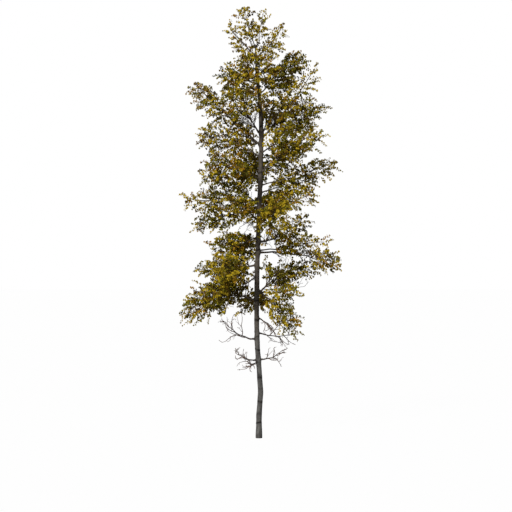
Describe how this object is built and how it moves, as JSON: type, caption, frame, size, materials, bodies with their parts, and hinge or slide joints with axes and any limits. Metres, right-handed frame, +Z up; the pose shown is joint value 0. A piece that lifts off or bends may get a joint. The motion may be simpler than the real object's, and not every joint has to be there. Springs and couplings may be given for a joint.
{
  "type": "poplar tree",
  "caption": "Tall slim poplar in autumn, with a winding bare grey trunk, dead lower boughs and a narrow crown of gold and olive foliage.",
  "frame": {"origin": "middle of the flat cut under the trunk, at ground level", "axes": "+Z up the tree, +X to the viewer's right, +Y away from the viewer"},
  "size_m": [5.1662, 4.0515, 13.9703],
  "materials": {
    "bark": "grey bark with dark bands and lenticels, matt",
    "dead_wood": "dry brown-grey dead wood, matt",
    "gold_leaves": "gold autumn leaves, slightly waxy",
    "olive_leaves": "olive-green leaves, slightly waxy",
    "bronze_leaves": "brown and bronze leaves, slightly waxy"
  },
  "bodies": {
    "root": {"bough_front_mid": "bark", "bough_left_arm": "bark", "bough_left_crest": "bark", "bough_left_inner": "bark", "bough_left_long": "bark", "bough_left_skirt": "bark", "bough_right_long": "bark", "bough_right_shelf_up": "bark", "bough_right_sweep": "bark", "bough_right_under": "bark", "dead_bough_front_low": "dead_wood", "dead_bough_left_high": "dead_wood", "dead_bough_left_low": "dead_wood", "dead_bough_right_high": "dead_wood", "dead_bough_right_low": "dead_wood", "dead_bough_right_stub": "dead_wood", "foliage_back_high": "olive_leaves", "foliage_back_low": "gold_leaves", "foliage_back_mid": "bronze_leaves", "foliage_back_waist": "olive_leaves", "foliage_front_low": "gold_leaves", "foliage_front_mid": "bronze_leaves", "foliage_front_top": "bronze_leaves", "foliage_front_waist": "gold_leaves", "foliage_heart_back": "gold_leaves", "foliage_heart_front": "bronze_leaves", "foliage_heart_left": "gold_leaves", "foliage_heart_right": "olive_leaves", "foliage_heart_right_low": "olive_leaves", "foliage_left_arm": "olive_leaves", "foliage_left_crest": "gold_leaves", "foliage_left_droop": "olive_leaves", "foliage_left_fan": "bronze_leaves", "foliage_left_inner": "olive_leaves", "foliage_left_long": "gold_leaves", "foliage_left_low": "olive_leaves", "foliage_left_mid": "olive_leaves", "foliage_left_rise": "olive_leaves", "foliage_left_shoulder": "gold_leaves", "foliage_left_skirt": "gold_leaves", "foliage_left_top": "olive_leaves", "foliage_right_crest": "gold_leaves", "foliage_right_drop": "gold_leaves", "foliage_right_flat": "olive_leaves", "foliage_right_front": "olive_leaves", "foliage_right_inner": "bronze_leaves", "foliage_right_long": "gold_leaves", "foliage_right_mid": "gold_leaves", "foliage_right_outer": "gold_leaves", "foliage_right_shelf": "gold_leaves", "foliage_right_shelf_up": "gold_leaves", "foliage_right_sweep": "gold_leaves", "foliage_right_top": "olive_leaves", "foliage_right_under": "olive_leaves", "foliage_top_left": "gold_leaves", "foliage_top_middle": "gold_leaves", "foliage_top_right": "gold_leaves", "foliage_top_spike": "gold_leaves", "trunk": "bark"}
  },
  "joints": []
}
